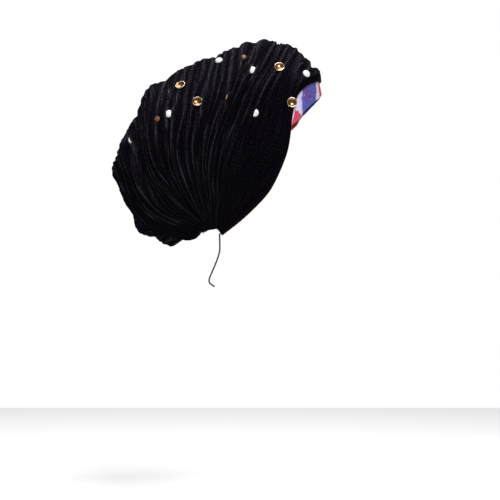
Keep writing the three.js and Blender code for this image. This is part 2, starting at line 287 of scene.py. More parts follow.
velvetSpec = {
    # each crest from the face edge back and down to the nape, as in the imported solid:
    # x and z on the middle line, half width, backward bow, depth of the next valley, smooth share
    "pleats": [
        (86.3, -48.2, 70, 0, 0.6, 0.8),  # face edge
        (84.5, -34, 71, 3, 3.2, 0.75),  # front roll
        (66, -15.8, 73, 8, 1.8, 0.6),
        (53, -4.5, 75, 11, 1.6, 0.5),
        (42, 1.6, 76.5, 13, 2.6, 0.35),  # crown
        (23, 5.6, 78, 14, 1.8, 0.25),
        (12, 7.2, 79, 15, 3.2, 0.2),
        (-12, 3, 80.5, 16, 2, 0.18),
        (-35, -6.4, 82, 17, 3.8, 0.15),
        (-70, -19.6, 84, 19, 1.4, 0.12),  # top of the bag
        (-98, -32.5, 85, 24, 7, 0.1),
        (-139, -56.5, 83, 31, 5.5, 0.1),
        (-172, -122, 74, 37, 2.6, 0.1),
        (-184.8, -162, 66, 38, 2.6, 0.1),  # back of the bag
        (-170.5, -198.5, 61, 21, 5, 0.1),
        (-150.5, -241, 54, 2, 6, 0.15),
        (-110, -259.6, 46, -4, 8.5, 0.2),  # bottom of the bag
        (-75, -245, 34, -2, 1.2, 0.3),
        (-66, -239, 24, 0, 0, 0.3),  # nape edge
    ],
    # the face edge, from its corner behind the ear up to the middle of the forehead
    "faceEdge": [
        (-43.4, 47, -246.5),
        (-19.2, 54, -227.6),
        (3.6, 61, -206.2),
        (19.7, 67, -187.5),
        (32, 70, -164.9),
        (40.6, 70, -143.5),
        (44.8, 69, -122),
        (46.8, 67, -101),
        (50, 64.5, -83),
        (55.1, 60.6, -69.1),
        (62.7, 53.8, -60.5),
        (70.5, 45, -54.7),
        (80.7, 26.5, -49.6),
        (86.3, 0, -48.2),
    ],
    # where the pleats' nape ends lie
    "napeRoute": [
        (-43.4, 47, -246.5),
        (-49.5, 45, -238.8),
        (-56.5, 37.5, -239.2),
        (-61.5, 27, -239.8),
        (-64.5, 16, -240),
    ],
    "middle": (-50, 0, -120),  # a point inside the wrap, from which the studs face outwards
    "faceBlend": 4.6,  # crests over which the face edge's shape fades out
    "rows": 640,
    "columns": 112,
    "wall": 2.2,
    "liningDepth": 6.0,  # how deep the plain inside lies under the crests
    "proud": 1.5,  # how far the gathered folds stand out of the smooth surface
    # spacings are in mm across the pleats at the side of the crown
    "foldSpacing": 12.5,
    "foldDepth": 3.4,
    "tuckSpacing": 6.2,
    "tuckDepth": 1.6,
    "crushDepth": 1.2,
    # how their phases wander: turns, mm across, mm along and seed of each noise
    "foldWander": [(2.2, 38, 110, 3), (0.8, 13, 52, 5)],
    "tuckWander": [(2.2, 15, 62, 17), (0.5, 5, 24, 19)],
    # where they are bold or crushed: mm across, mm along and seed
    "foldBold": (22, 120, 11),
    "tuckBold": (10, 55, 23),
    "crushes": [(3.1, 8, 31), (7, 15, 37)],
    "hemWidth": 8.0,
    "hemDepth": 0.55,
    "studReach": 12,  # cloth farther than this from a stud's back is left alone
    "studSink": 0.12,  # how far the cloth lies under it
    # folds that lap over the studs of one number: how far the crest lies behind the stud's middle,
    # or before it where negative, and its height
    "lips": {
        3: [(2.6, 4.6), (-3.4, 4.2)],
        7: [(5.6, 3.6), (-5.2, 3.4)],
        8: [(0.6, 3.2), (-1.6, 3.2)],
        9: [(1.2, 4.9)],
        11: [(3.2, 4.5), (-3.8, 4.0)],
        13: [(1.6, 4.9), (-2.4, 4.7)],
        14: [(0.4, 3.4), (-1.1, 3.4)],
    },
    "lipLength": 10.0,
    "lipSteep": 1.9,  # fall of its height over the stud
    "lipGentle": 6.4,  # and behind it
    "lipRoot": 3.6,  # depth at which its crest would end in the cloth
    "lipFloor": 4.1,  # depth of its underside
    "wrapRadius": 130,  # curve of the wrap that the folds follow
    # pile colour in the dark; the lit colour that painted highlights on the crests and painted light
    # on the upward-facing cloth mix towards; and the colour of the cut edge
    "pileColour": (0.0011, 0.0008, 0.0017),
    "litCrestColour": (0.044, 0.041, 0.053),
    "cutColour": (0.012, 0.006, 0.006),
    "finish": {
        "Roughness": 0.95,
        "Specular IOR Level": 0.0,
        "Sheen Weight": 0.012,
        "Sheen Roughness": 0.3,
        "Sheen Tint": (0.8, 0.76, 0.9, 1),
    },
    # scale across and along the pleats, detail, and the levels that become 0 and 1
    "streakGrain": (620.0, 18.0, 3.0, 0.42, 0.66),
    "brokenGrain": (150.0, 13.0, 2.0, 0.42, 0.64),
    "speckleGrain": (760.0, 480.0, 3.0, 0.44, 0.72),
    "patchGrain": (48.0, 20.0, 2.0, 0.38, 0.64),
    # powers that thin the painted highlight lines along the crests and the painted stripes of light on the
    # top
    "foldLinePower": 60.0,
    "foldBandPower": 6.0,
    "tuckLinePower": 40.0,
    "stripePower": 2.5,
    # how light each is, as a share of the way to the lit crest colour: painted highlights on the folds,
    # the pile's random speckle, and painted light on the upward-facing cloth
    "foldBandLight": 0.36,
    "tuckLineLight": 0.55,
    "gatheredLight": 0.85,
    "pileLight": 0.12,
    "topLight": 0.12,
    "topStripeLight": 0.95,
    "pileRelief": 0.0009,  # m
}


def archPoints(spec, place, share):
    # an elliptic arch from a pleat's nape end to its crest on the middle line, bowed backwards
    row = splineRows(spec["pleats"], place)
    last = len(spec["pleats"]) - 1
    end = splineRows(spec["napeRoute"], place / last * (len(spec["napeRoute"]) - 1))
    half = np.maximum(row[..., 2], end[..., 1] + 0.01)
    start = np.arcsin(end[..., 1] / half)
    angle = mixed(start, np.pi, share)
    rise = (np.cos(start) - np.cos(angle)) / (np.cos(start) + 1)
    chordX, chordZ = row[..., 0] - end[..., 0], row[..., 1] - end[..., 2]
    length = np.hypot(chordX, chordZ)
    bow = row[..., 3] * np.sin(np.pi * np.clip(rise, 0, 1) ** 0.85) ** 1.25
    x = end[..., 0] + chordX * rise - chordZ / length * bow
    z = end[..., 2] + chordZ * rise + chordX / length * bow
    return np.stack([x, -half * np.sin(angle), z], axis=-1)


def crestPoints(spec, place, side):
    # the smooth surface through the crests; side runs from -1, right, over 0, the middle, to 1, left
    share = 1 - np.abs(side)
    reach = (1 - eased(place / spec["faceBlend"]))[..., None]
    points = archPoints(spec, place, share)
    points = points + (stationCurve(spec["faceEdge"], share) - archPoints(spec, 0 * place, share)) * reach
    points[..., 1] = np.where(side > 0, -points[..., 1], points[..., 1])
    return points


def surfaceNormals(spec, place, side):
    # the cross product of small steps along a pleat and across the pleats
    last = len(spec["pleats"]) - 1
    ahead, behind = np.minimum(side + 0.015, 1), np.maximum(side - 0.015, -1)
    alongStep = crestPoints(spec, place, ahead) - crestPoints(spec, place, behind)
    ahead, behind = np.minimum(place + 0.12, last), np.maximum(place - 0.12, 0)
    backStep = crestPoints(spec, ahead, side) - crestPoints(spec, behind, side)
    return unit(np.cross(alongStep, backStep))


def valleyDepth(spec, place, share):
    # a sharp valley halfway between two round crests, fading out towards the nape ends
    table = np.asarray(spec["pleats"], float)
    i = np.minimum(np.floor(place).astype(int), len(table) - 2)
    t = place - i
    flat = mixed(table[i, 5], table[i + 1, 5], t)
    fade = eased((share - 0.6 * flat) / np.maximum(0.6 * flat, 0.08))
    return table[i, 4] * (1 - np.abs(np.cos(np.pi * t))) * fade


def rounding(fromEdge, radius):
    # how far a face lies inside a half-round rim, this far from the rim
    t = np.clip(fromEdge / radius, 0, 1)
    return radius * (1 - np.sqrt(1 - (1 - t) ** 2))


def studSeats(spec):
    # each stud's base centre, axis and radius with 0.5 mm to spare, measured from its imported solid
    seats = []
    for name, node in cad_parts.items():
        if name.split("_")[0] not in ("pearl", "gilt", "amber"):
            continue
        co = np.zeros(len(node.data.vertices) * 3)
        node.data.vertices.foreach_get("co", co)
        co = np.unique(co.reshape(-1, 3).round(7), axis=0) / mm
        middle = (co.max(0) + co.min(0)) / 2
        axis = np.linalg.svd(co - co.mean(0))[2][2]  # the flattest direction
        height = (co - middle) @ axis
        if axis @ (middle - spec["middle"]) < 0:  # from the middle of the wrap outwards
            axis, height = -axis, -height
        rim = co[height < height.min() + 0.3]
        base = (rim.max(0) + rim.min(0)) / 2
        base = base + axis * (height.min() - (base - middle) @ axis)
        radius = np.linalg.norm(rim - base, axis=1).max() + 0.5
        kind, number = name.split("_")[0], int(name[-2:])
        seat = {"name": name, "kind": kind, "number": number}
        seats.append(seat | {"base": base, "axis": axis, "radius": radius})
    return seats


def wanderingPhase(across, along, spacing, wander):
    # one turn for each spacing, plus noises that carry it some turns ahead
    phase = across / spacing
    for turns, acrossSize, alongSize, seed in wander:
        phase = phase + turns * noise(across / acrossSize, along / alongSize, seed)
    return phase


def boldness(across, along, size):
    # noise stretched past 0 and 1, so that much of it is one or the other
    acrossSize, alongSize, seed = size
    return eased(noise(across / acrossSize, along / alongSize, seed) * 1.9 - 0.35)


def velvetSurface(spec, seats):
    # grid of outer points, inner points and masks; rows run over the pleats, columns along them
    last = len(spec["pleats"]) - 1
    inner = np.linspace(0.12, last - 0.12, spec["rows"])
    rim = np.array([0, 0.008, 0.022, 0.045, 0.08])
    place1 = np.concatenate([rim, inner, last - rim[::-1]])
    side1 = np.linspace(-1, 1, 2 * (spec["columns"] // 2) + 1)
    endRim = np.array([0, 0.0015, 0.008])
    side1 = np.concatenate([-1 + endRim, side1[1:-1], 1 - endRim[::-1]])
    place, side = np.meshgrid(place1, side1, indexing="ij")
    share = 1 - np.abs(side)
    crest = crestPoints(spec, place, side)
    normal = surfaceNormals(spec, place, side)

    # distances over the cloth, in mm
    back = np.linalg.norm(np.diff(crest, axis=0), axis=-1)
    back = np.concatenate([np.zeros((1, len(side1))), np.cumsum(back, axis=0)])
    along = np.linalg.norm(np.diff(crest, axis=1), axis=-1)
    along = np.concatenate([np.zeros((len(place1), 1)), np.cumsum(along, axis=1)], axis=1)
    along = along - along[:, [along.shape[1] // 2]]
    reference = back[:, np.argmin(np.abs(side1 + 0.32))][:, None] + 0 * share
    localWidth = np.gradient(back, axis=0) / np.maximum(np.gradient(reference, axis=0), 1e-6)
    fromFace, fromNape = back, back[-1:] - back
    fromEnd = np.minimum(along - along[:, [0]], along[:, [-1]] - along)

    # where the cloth is gathered: all over but the smooth panel that hangs before the ear
    smoothPanel = 1 - eased((place - mixed(3.4, 0.2, eased((share - 0.42) / 0.4))) / 1.6)
    gathered = mixed(1, 0.1, smoothPanel) * eased((fromFace - 6) / 8) * eased((fromNape - 3) / 8)
    tight = np.clip(localWidth, 0.2, 1.15)

    # folds and the tucks between them: round crests half a turn from sharp valleys, whose phase
    # wanders so that some run together and the two sides differ
    fold = wanderingPhase(reference, along, spec["foldSpacing"], spec["foldWander"])
    foldBold = boldness(reference, along, spec["foldBold"])
    foldValley = 1 - np.abs(np.sin(np.pi * fold))
    tuck = wanderingPhase(reference, along, spec["tuckSpacing"], spec["tuckWander"])
    tuckBold = boldness(reference, along, spec["tuckBold"])
    tuckValley = 1 - np.abs(np.sin(np.pi * tuck))
    crushed = 1
    for acrossSize, alongSize, seed in spec["crushes"]:
        crushed = crushed * noise(reference / acrossSize, along / alongSize, seed)
    depth = (
        spec["foldDepth"] * (0.35 + 0.65 * foldBold) * foldValley**1.2
        + spec["tuckDepth"] * (0.25 + 0.75 * tuckBold) * tuckValley**1.3
        + spec["crushDepth"] * crushed
    )
    # shallower along the middle line, from the crown back
    calm = eased((place - 5) / 3) * (1 - eased(np.abs(side) / 0.16))
    depth = (depth * (1 - 0.6 * calm) - spec["proud"]) * gathered * tight
    # a stitched hem line along the face edge
    hemLine = np.exp(-(((fromFace - spec["hemWidth"]) / 0.9) ** 2)) * spec["hemDepth"]
    hemLine = hemLine * eased((share - 0.02) / 0.05)
    valley = valleyDepth(spec, place, share)
    outer = crest - normal * (valley + depth + hemLine)[..., None]

    # the cloth is drawn to the flat back of each stud, and less so over as much again around it
    pleatwise = unit(np.gradient(crest, axis=1))
    for seat in seats:
        offset = outer - seat["base"]
        height = offset @ seat["axis"]
        away = np.linalg.norm(offset - height[..., None] * seat["axis"], axis=-1)
        within = np.abs(height) < spec["studReach"]
        near = (1 - eased(away / (seat["radius"] * 0.9) - 1)) * within
        outer = outer - (near * (height + spec["studSink"]))[..., None] * seat["axis"]
        closest = np.unravel_index(np.argmin(np.where(within, away, np.inf)), away.shape)
        seat["flank"] = pleatwise[closest] * (1 if side[closest] < 0 else -1)  # up along the pleat
        # how far the stud faces up, for the painted light on the lips that lap over it
        seat["top"] = eased((seat["axis"][2] - 0.1) / 0.7)

    # half-round rims, and a plain inside that runs deeper than the pleats
    fromRim = np.minimum(np.minimum(fromFace, fromNape), fromEnd)
    radius = spec["wall"] / 2
    outer = outer - normal * rounding(fromRim, radius)[..., None]
    inside = mixed(spec["wall"], spec["liningDepth"], eased((fromRim - 14) / 20))
    insideDepth = valley * eased(fromRim / 30) + inside - rounding(fromRim, radius)
    return {
        "outer": outer,
        "inner": crest - normal * insideDepth[..., None],
        "across": reference,
        "along": along,
        "fold": fold,
        "tuck": tuck,
        "gathered": gathered,
        # how far the cloth faces up: the material paints light on the upward-facing cloth
        "top": eased((normal[..., 2] - 0.1) / 0.7),
        "edge": np.exp(-fromFace / 1.1),
    }


def lipShell(spec, seat, middle, lift):
    # a short fold that laps over one side of a stud: its height falls from the crest by a Gaussian
    # that is steep over the stud and gentle behind it, and by a slower one along the fold; the
    # underside lies inside the cloth
    rows, columns = 17, 14
    pastRange, besideRange = np.linspace(-3.4, 10.5, rows), np.linspace(-2.1, 2.1, columns)
    past, beside = np.meshgrid(pastRange, besideRange, indexing="ij")
    beside = beside * spec["lipLength"]
    fall = np.where(past < 0, spec["lipSteep"], spec["lipGentle"])
    lip = np.exp(-((past / fall) ** 2)) * np.exp(-((beside / spec["lipLength"]) ** 2))
    height = (lift + spec["lipRoot"]) * lip - spec["lipRoot"]
    back = unit(np.cross(seat["flank"], seat["axis"]))
    if back[0] > 0:  # towards the back of the wrap, or the face for a crest before the stud
        back = -back
    back = back * np.sign(middle)
    flank = np.cross(back, seat["axis"])
    # the fold follows the curve of the wrap, so its ends drop by the square of the distance
    drop = (beside**2 + (past + abs(middle)) ** 2) / (2 * spec["wrapRadius"])
    flat = seat["base"] + (past + abs(middle))[..., None] * back + beside[..., None] * flank
    top = flat + (height - drop)[..., None] * seat["axis"]
    bottom = flat - (spec["lipFloor"] + drop)[..., None] * seat["axis"]
    # half a turn along the crest, where the material paints its highlight lines, and painted top light as
    # the stud faces up
    masks = {
        "fold": 0.5 + past / 22,
        "tuck": 0.5 + past / 9,
        "gathered": 0 * past + 1,
        "top": 0 * past + seat["top"],
        "edge": 0 * past,
    }
    uv = np.stack([past + seat["base"][0], beside + seat["base"][2]], axis=-1)
    return top, bottom, masks, uv


def velvetMaterial(spec):
    # Painted highlights along the crests come from two running phases: the size of sin(pi x phase)
    # raised to a high power leaves a thin painted highlight line along each crest, and to a low power
    # a soft painted band of light round it. Drawn-out noise breaks the lines up, even noise speckles
    # the bands and the painted light on the upward-facing top, and the pile elsewhere is nearly black
    # with a faint random speckle.
    material, nodes, links, shader = newMaterial("black velvet", spec["finish"])
    uv = addNode(nodes, "ShaderNodeUVMap", {"uv_map": "cloth"}).outputs["UV"]

    def attribute(name):
        return addNode(nodes, "ShaderNodeAttribute", {"attribute_name": name}).outputs["Fac"]

    def product(*factors):
        result = factors[0]
        for factor in factors[1:]:
            result = addMath(nodes, links, "MULTIPLY", result, factor)
        return result

    def total(*terms):
        result = terms[0]
        for term in terms[1:]:
            result = addMath(nodes, links, "ADD", result, term)
        return result

    def crestSize(name):
        wave = addMath(nodes, links, "SINE", product(attribute(name), math.pi))
        return addMath(nodes, links, "ABSOLUTE", wave)

    def powered(value, name):
        return addMath(nodes, links, "POWER", value, spec[name])

    fold, tuck = crestSize("fold"), crestSize("tuck")
    grains = [placeGrain(nodes, links, uv, spec[name + "Grain"]).outputs
              for name in ("streak", "broken", "speckle", "patch")]
    streak, broken, speckle, patch = (outputs["Mask"] for outputs in grains)
    # painted highlights: a thin line along each fold crest with a soft band round it, and a line along each
    # tuck crest
    foldLine = product(powered(fold, "foldLinePower"), broken)
    foldLine = product(foldLine, total(product(speckle, 0.7), 0.3))
    foldBand = product(powered(fold, "foldBandPower"), speckle)
    foldBand = product(foldBand, total(patch, 0.25), spec["foldBandLight"])
    tuckLine = product(powered(tuck, "tuckLinePower"), streak)
    tuckLine = product(tuckLine, patch, spec["tuckLineLight"])
    # painted light on the upward-facing cloth, lighter in stripes along the folds
    stripes = product(powered(fold, "stripePower"), total(product(tuck, tuck, 0.7), 0.3))
    stripes = total(product(stripes, spec["topStripeLight"]), spec["topLight"])
    onTop = product(attribute("top"), speckle, stripes)
    onFolds = total(foldLine, foldBand, tuckLine)
    onFolds = product(onFolds, attribute("gathered"), spec["gatheredLight"])
    onPile = product(total(streak, 0.5), speckle, spec["pileLight"])
    light = addMath(nodes, links, "ADD", total(onFolds, onPile), onTop, clamp=True)
    # the pile colour mixed towards the lit crest colour wherever painted light falls
    colour = addColourMix(nodes, links, light, spec["pileColour"], spec["litCrestColour"])
    colour = addColourMix(nodes, links, attribute("edge"), colour, spec["cutColour"])
    links.new(colour, shader.inputs["Base Color"])
    height = total(grains[0]["Raw"], product(grains[2]["Raw"], 0.7))
    bump = addNode(nodes, "ShaderNodeBump", Strength=0.8, Distance=spec["pileRelief"])
    links.new(height, bump.inputs["Height"])
    links.new(bump.outputs["Normal"], shader.inputs["Normal"])
    return material


def makeVelvet(spec, seats):
    # the outer grid and a coarser inner one, closed round their rims, with a shell for each lip
    surface = velvetSurface(spec, seats)
    outer, inner = surface["outer"], surface["inner"]
    rows, columns = outer.shape[:2]
    # the inside is plain, so it keeps every fourth row and every second column
    keepR = np.unique(np.concatenate([np.arange(0, rows, 4), [rows - 1]]))
    keepC = np.unique(np.concatenate([np.arange(0, columns, 2), [columns - 1]]))
    inside = inner[np.ix_(keepR, keepC)]
    start = rows * columns
    nR, nC = len(keepR), len(keepC)
    faces = gridFaces(rows, columns)
    faces += [face[::-1] for face in gridFaces(nR, nC, start)]

    def innerAt(i, j):
        return start + i * nC + j

    # one face for each inner rim segment, with all the outer rim points beside it
    for c, j in ((0, 0), (columns - 1, nC - 1)):
        for i in range(nR - 1):
            rim = [r * columns + c for r in range(keepR[i], keepR[i + 1] + 1)]
            face = rim + [innerAt(i + 1, j), innerAt(i, j)]
            faces.append(face if c == 0 else face[::-1])
    for r, i in ((0, 0), (rows - 1, nR - 1)):
        for j in range(nC - 1):
            rim = [r * columns + c for c in range(keepC[j], keepC[j + 1] + 1)]
            face = rim + [innerAt(i, j + 1), innerAt(i, j)]
            faces.append(face[::-1] if r == 0 else face)
    names = ("fold", "tuck", "gathered", "top", "edge")

    def both(values, share=1):
        return np.concatenate([values.ravel(), share * values[np.ix_(keepR, keepC)].ravel()])

    # the inside of the cloth is its plain back, without the painted highlights and painted top light
    masks = {name: [both(surface[name], 0 if name in ("gathered", "top") else 1)] for name in names}
    cloth = [np.stack([both(surface["across"]), both(surface["along"])], axis=-1)]
    points = [outer.reshape(-1, 3), inside.reshape(-1, 3)]
    for seat in seats:
        for middle, lift in spec["lips"].get(seat["number"], []):
            top, bottom, lipMasks, uv = lipShell(spec, seat, middle, lift)
            first = sum(len(part) for part in points)
            points += [top.reshape(-1, 3), bottom.reshape(-1, 3)]
            faces += shellFaces(*top.shape[:2], first)
            cloth += [uv.reshape(-1, 2)] * 2
            for name in names:
                masks[name] += [lipMasks[name].ravel()] * 2
    piece = makePiece("velvet", np.concatenate(points) * mm, faces, velvetMaterial(spec))
    for name in names:
        pointAttribute(piece, name, np.concatenate(masks[name]))
    uvFromPoints(piece, "cloth", np.concatenate(cloth) * mm)
    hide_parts("velvet_wrap")
    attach(piece, "root")
    return piece


seats = studSeats(velvetSpec)
velvet = makeVelvet(velvetSpec, seats)
print("velvet made:", len(velvet.data.polygons), "faces")

bandSpec = {
    # lower border, from its tucked end at the temple to the middle of the forehead
    "border": [
        (39.5, 65.5, -115),
        (47.2, 62.5, -107.7),
        (55.6, 58, -100.2),
        (61.6, 53.5, -91),
        (69.8, 45, -82.4),
        (79.3, 30, -73.3),
        (84.4, 16, -68.2),
        (86.8, 0, -64.5),
    ],
    "endsAt": 0.62,  # where its ends lie, as a share of the face edge
    "shownRows": 22,
    "tuckedRows": 8,
    "columns": 150,
    "wall": 1.0,
    "gap": 0.45,  # between its outside and the inside of the velvet
    "waveHeight": 0.9,
    "seamHeight": 3.2,  # the stitched line above the border
    "seamDepth": 0.35,
    "seamWidth": 0.55,
    "hemStep": 0.25,  # how far the turned hem stands out
    "dyesAndGlint": {
        "red": (0.46, 0.03, 0.045),
        "white": (0.52, 0.48, 0.58),
        "lilac": (0.42, 0.365, 0.52),
        "blue": (0.045, 0.062, 0.29),
        "deep": (0.03, 0.042, 0.22),
        "violet": (0.095, 0.05, 0.24),
        "bloom": (0.085, 0.028, 0.175),
        "mottle": (0.36, 0.34, 0.58),
        # painted highlight colour for the glints
        "glint": (0.85, 0.85, 0.92),
        "thread": (0.03, 0.03, 0.09),
    },
    "printHalf": 0.1,  # half the length that the stripes are spread over, in m
    # the colour at each share of the whole length; between two of them it is mixed
    "stripes": [
        (0.0, "lilac"), (0.10, "white"), (0.15, "lilac"), (0.165, "blue"), (0.28, "blue"),
        (0.33, "deep"), (0.342, "white"), (0.385, "white"), (0.395, "red"), (0.50, "red"),
        (0.51, "white"), (0.57, "lilac"), (0.585, "deep"), (0.72, "blue"), (0.80, "violet"),
        (0.81, "white"), (0.86, "lilac"), (0.87, "red"), (0.93, "red"), (0.94, "white"), (1.0, "blue"),
    ],
    "stripeLean": 0.32,
    "stripeDrift": 0.016,  # m
    "driftScale": 70.0,
    # places on the cloth, and the distances at which each begins and is full, in m
    "bloomAt": (-0.050, 0.015, 0),
    "bloomReach": (0.014, 0.005),
    "redEndAt": (-0.084, 0.003, 0),
    "redEndReach": (0.0098, 0.009),
    # scale across and along the band, detail, and the levels that become 0 and 1
    "petalGrain": (300.0, 380.0, 3.0, 0.12, 0.62),
    "mottleGrain": (420.0, 230.0, 4.0, 0.45, 0.75),
    "ribGrain": (2600.0, 160.0, 2.0, 0.3, 0.7),
    "glintGrain": (300.0, 420.0, 1.0, 0.73, 0.78),
    "mottleShare": 0.25,
    "threadShare": 0.2,
    "ribRelief": 0.0003,  # m
    "gloss": (0.34, 0.5),  # roughness between the ribs and on them
    "finish": {"Specular IOR Level": 0.3},
}


def bandMaterial(spec):
    # a printed satin: bands of colour with drifting edges, a violet bloom, a red end, pale mottling,
    # small painted glints of highlight, and fine ribs
    material, nodes, links, shader = newMaterial("printed satin", spec["finish"])
    uv = addNode(nodes, "ShaderNodeUVMap", {"uv_map": "cloth"}).outputs["UV"]
    drift = addNode(nodes, "ShaderNodeTexNoise", Scale=spec["driftScale"], Detail=2.0)
    links.new(uv, drift.inputs["Vector"])
    split = nodes.new("ShaderNodeSeparateXYZ")
    links.new(uv, split.inputs[0])
    swing = addMath(nodes, links, "SUBTRACT", drift.outputs["Fac"], 0.5)
    swing = addMath(nodes, links, "MULTIPLY", swing, spec["stripeDrift"])
    lean = addMath(nodes, links, "MULTIPLY", split.outputs["Y"], spec["stripeLean"])
    across = addMath(nodes, links, "SUBTRACT", split.outputs["X"], lean)
    across = addMath(nodes, links, "ADD", across, swing)
    half = spec["printHalf"]
    place = addNode(nodes, "ShaderNodeMapRange", From_Min=-half, From_Max=half)
    links.new(across, place.inputs["Value"])
    dyesAndGlint = spec["dyesAndGlint"]
    stops = [(at, dyesAndGlint[name]) for at, name in spec["stripes"]]
    printed = addRamp(nodes, links, place.outputs["Result"], stops)

    def spot(centre, reach, kind):
        # full inside one distance from a place on the cloth, and gone outside another
        away = addNode(nodes, "ShaderNodeVectorMath", {"operation": "DISTANCE"})
        links.new(uv, away.inputs[0])
        away.inputs[1].default_value = centre
        distance = addMath(nodes, links, "ADD", away.outputs["Value"], swing)
        inside = addNode(nodes, "ShaderNodeMapRange", From_Min=reach[0], From_Max=reach[1])
        inside.interpolation_type = kind
        links.new(distance, inside.inputs["Value"])
        return inside.outputs["Result"]

    petals, mottle, ribs, glint = (
        placeGrain(nodes, links, uv, spec[name + "Grain"]) for name in ("petal", "mottle", "rib", "glint"))
    bloom = spot(spec["bloomAt"], spec["bloomReach"], "SMOOTHSTEP")
    bloom = addMath(nodes, links, "MULTIPLY", bloom, petals.outputs["Mask"])
    colour = addColourMix(nodes, links, bloom, printed, dyesAndGlint["bloom"])
    redEnd = spot(spec["redEndAt"], spec["redEndReach"], "LINEAR")
    colour = addColourMix(nodes, links, redEnd, colour, dyesAndGlint["red"])
    paler = addMath(nodes, links, "MULTIPLY", mottle.outputs["Mask"], spec["mottleShare"])
    colour = addColourMix(nodes, links, paler, colour, dyesAndGlint["mottle"])
    # painted glints: small white highlights on the satin
    colour = addColourMix(nodes, links, glint.outputs["Mask"], colour, dyesAndGlint["glint"])
    seam = addNode(nodes, "ShaderNodeAttribute", {"attribute_name": "seam"}).outputs["Fac"]
    seam = addMath(nodes, links, "MULTIPLY", seam, spec["threadShare"])
    colour = addColourMix(nodes, links, seam, colour, dyesAndGlint["thread"])
    links.new(colour, shader.inputs["Base Color"])
    bump = addNode(nodes, "ShaderNodeBump", Strength=0.35, Distance=spec["ribRelief"])
    links.new(ribs.outputs["Raw"], bump.inputs["Height"])
    links.new(bump.outputs["Normal"], shader.inputs["Normal"])
    smooth, rough = spec["gloss"]
    gloss = addNode(nodes, "ShaderNodeMapRange", To_Min=smooth, To_Max=rough)
    links.new(ribs.outputs["Raw"], gloss.inputs["Value"])
    links.new(gloss.outputs["Result"], shader.inputs["Roughness"])
    return material


def makeBand(spec, cloth):
    # up runs from 0 at the lower border straight to 1 under the velvet's edge, and on to 2 beneath
    # the velvet, a gap inside its wall
    rows = spec["shownRows"] + spec["tuckedRows"]
    side = np.linspace(-1, 1, spec["columns"])
    share = 1 - np.abs(side)
    edgeSide = np.sign(side) * (1 - mixed(spec["endsAt"], 1, share))
    border = stationCurve(spec["border"], share)
    border[:, 1] = np.where(side > 0, -border[:, 1], border[:, 1])
    tucked = np.linspace(1, 2, spec["tuckedRows"] + 1)[1:]
    up = np.concatenate([np.linspace(0, 1, spec["shownRows"]), tucked])[:, None]
    reach = mixed(0.5, 1, share)[None] * np.maximum(up - 1, 0)
    edgeSides = np.broadcast_to(edgeSide, reach.shape)
    depth = cloth["wall"] + spec["gap"] + valleyDepth(cloth, reach, 1 - np.abs(edgeSides))
    surface = crestPoints(cloth, reach, edgeSides)
    surface = surface - surfaceNormals(cloth, reach, edgeSides) * depth[..., None]
    points = np.where(up[..., None] < 1, mixed(border[None], surface, up[..., None]), surface)
    along = np.concatenate([[0], np.cumsum(np.linalg.norm(np.diff(border, axis=0), axis=1))])
    along = np.broadcast_to(along - along[-1] / 2, reach.shape)
    height = np.linalg.norm(np.diff(points, axis=0), axis=-1)
    height = np.concatenate([np.zeros((1, len(side))), np.cumsum(height, axis=0)])
    normal = unit(np.cross(np.gradient(points, axis=1), np.gradient(points, axis=0)))
    # soft waves, a turned and stitched hem, and a rounded border
    shown = eased(height / 6) * (1 - eased((up - 0.7) / 0.3))
    wave = (noise(along / 14 + 40, height / 30, 7) - 0.5) * spec["waveHeight"] * shown
    seam = np.exp(-(((height - spec["seamHeight"]) / spec["seamWidth"]) ** 2))
    hem = spec["hemStep"] * (height < spec["seamHeight"])
    endTaper = eased((along - along[:, [0]]) / 3) * eased((along[:, [-1]] - along) / 3)
    rim = rounding(height, spec["wall"] / 2)
    outer = points + normal * ((wave - spec["seamDepth"] * seam + hem) * endTaper - rim)[..., None]
    inner = points - normal * (spec["wall"] - rim)[..., None]
    points = np.stack([outer, inner]) * mm
    piece = makePiece("satinLining", points, shellFaces(rows, len(side)), bandMaterial(spec))
    pointAttribute(piece, "seam", np.stack([seam, seam]))
    uvFromPoints(piece, "cloth", np.stack([np.stack([along, height], axis=-1)] * 2) * mm)
    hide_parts("satin_band")
    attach(piece, "root")
    return piece


band = makeBand(bandSpec, velvetSpec)
print("satin band made")

studSpec = {
    "pearl": {
        "radius": 5,
        "height": 4.2,
        "edge": 0.5,  # height of the dome's foot
        "bevel": 0.4,
        "sides": 40,
        "cloudScale": 260.0,
        "cloudLevels": (0.3, 0.7),
        "colours": [(0.55, 0.545, 0.53), (0.68, 0.68, 0.69)],
        "finish": {"Roughness": 0.3, "Coat Weight": 0.4, "Coat Roughness": 0.12, "Sheen Weight": 0.1},
    },
    "gilt": {
        "radius": 6.4,
        "edge": 0.5,
        "bevel": 0.4,
        "rimHeight": 2.9,
        "dishRadius": 5.3,
        "dishEdge": 2.2,
        "dishFloor": 0.6,
        "sides": 48,
        # the dish painted darker copper as painted shade, the rim paler gold as a painted highlight
        "shadedDishColour": (0.21, 0.105, 0.045),
        "litRimColour": (0.52, 0.385, 0.27),
        "wearScale": 900.0,
        "wear": (0.14, 0.3),  # roughness where polished and where worn
        "finish": {"Metallic": 1.0},
    },
    "amber": {
        "radius": 3.9,
        "girdle": 0.6,
        "tableRadius": 2.0,
        "height": 2.6,
        "sides": 10,
        "cloudScale": 330.0,
        "cloudLevels": (0.35, 0.65),
        "colours": [(0.05, 0.015, 0.005), (0.13, 0.05, 0.012)],
        "finish": {"Roughness": 0.3, "Specular IOR Level": 0.3},
    },
}


